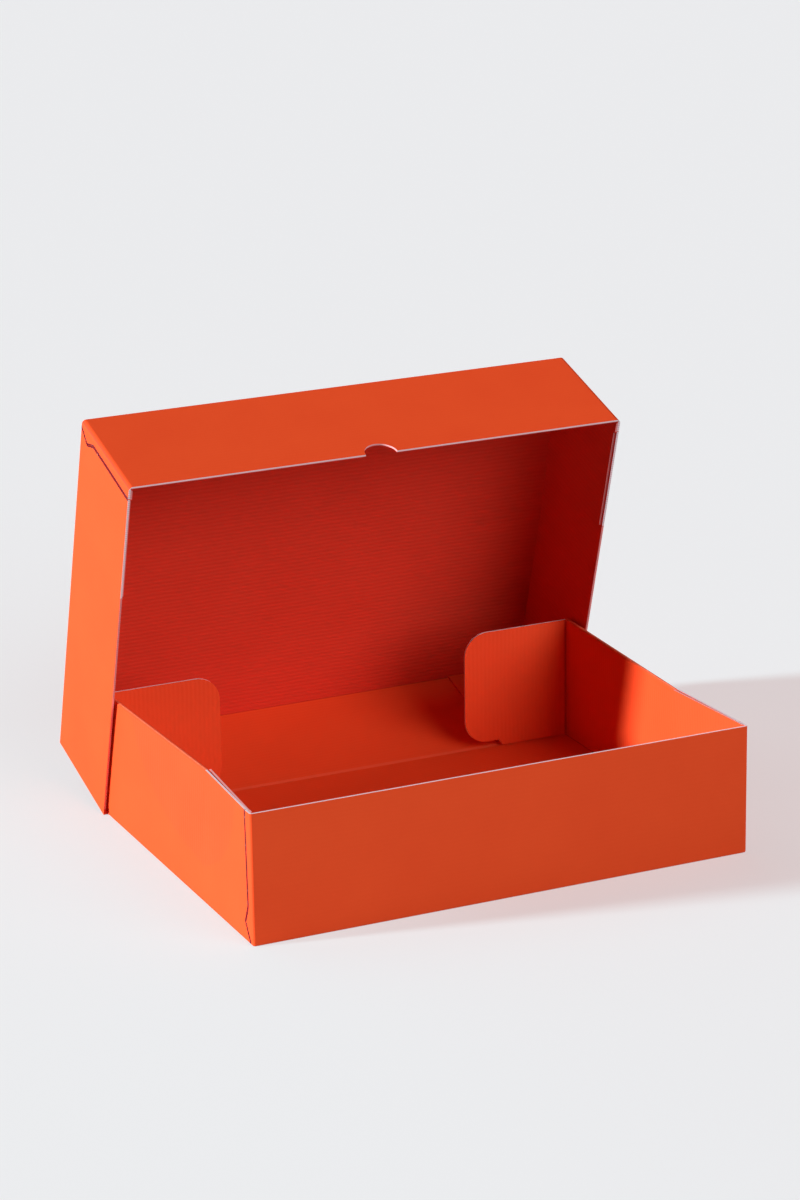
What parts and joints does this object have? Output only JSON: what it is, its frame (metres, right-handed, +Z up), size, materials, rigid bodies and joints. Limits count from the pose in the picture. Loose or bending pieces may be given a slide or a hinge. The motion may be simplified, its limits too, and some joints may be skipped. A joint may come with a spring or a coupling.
{
  "type": "mailer box",
  "caption": "Shallow mailer box folded from orange fine-flute corrugated board, with a full-depth hinged lid standing open and two rear corner flaps",
  "frame": {"origin": "middle of the tray's underside, halfway between its front face and the rear wall's outer face when closed", "axes": "+X to the right along the front wall, +Y to the rear, +Z up"},
  "size_m": [0.3764, 0.361, 0.2905],
  "materials": {
    "tray_board": "uncoated orange liner, matte",
    "lid_board": "uncoated orange liner, matte",
    "flap_board": "uncoated orange liner, matte"
  },
  "bodies": {
    "tray": {"tray": "tray_board"},
    "lid": {"lid": "lid_board"},
    "left_rear_flap": {"left_rear_flap": "flap_board"},
    "right_rear_flap": {"right_rear_flap": "flap_board"}
  },
  "joints": [
    {"name": "lid_hinge", "type": "hinge", "parent": "tray", "child": "lid", "pos_m": [0, 0.135, 0.0015], "axis": [1, 0, 0], "range_deg": [-15.7, 53.2]},
    {"name": "left_flap_fold", "type": "hinge", "parent": "tray", "child": "left_rear_flap", "pos_m": [-0.1817, 0.131, 0.0465], "axis": [0, 0, 1], "range_deg": [-80, 0]},
    {"name": "right_flap_fold", "type": "hinge", "parent": "tray", "child": "right_rear_flap", "pos_m": [0.1817, 0.131, 0.0465], "axis": [0, 0, 1], "range_deg": [0, 80]}
  ]
}
